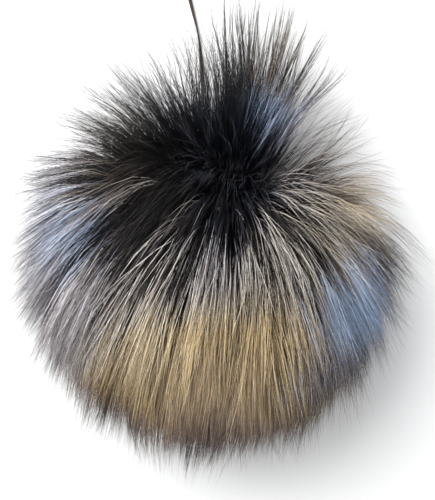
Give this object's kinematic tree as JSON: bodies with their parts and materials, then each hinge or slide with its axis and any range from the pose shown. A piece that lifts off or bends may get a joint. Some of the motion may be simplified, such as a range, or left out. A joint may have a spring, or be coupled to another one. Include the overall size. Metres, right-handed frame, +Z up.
{
  "type": "fur pom pom",
  "caption": "Round pom pom of long shaggy fur with the hair combed away from a crown, and a thin lace tie, lying on a table.",
  "frame": {"origin": "on the table, under the middle of the fur's box, the lace left out", "axes": "+Z up from the flat spot, +Y towards the side where the lace comes out, the long combed hair towards -Y"},
  "size_m": [0.1718, 0.2083, 0.1125],
  "materials": {
    "long_fur": "long mixed fur: black roots, silver, cream and gold bands, dark tips, soft sheen",
    "brown_lace": "thin dark brown suede lace, matte"
  },
  "bodies": {
    "root": {"fur_ball": "long_fur", "tie_lace": "brown_lace"}
  },
  "joints": []
}
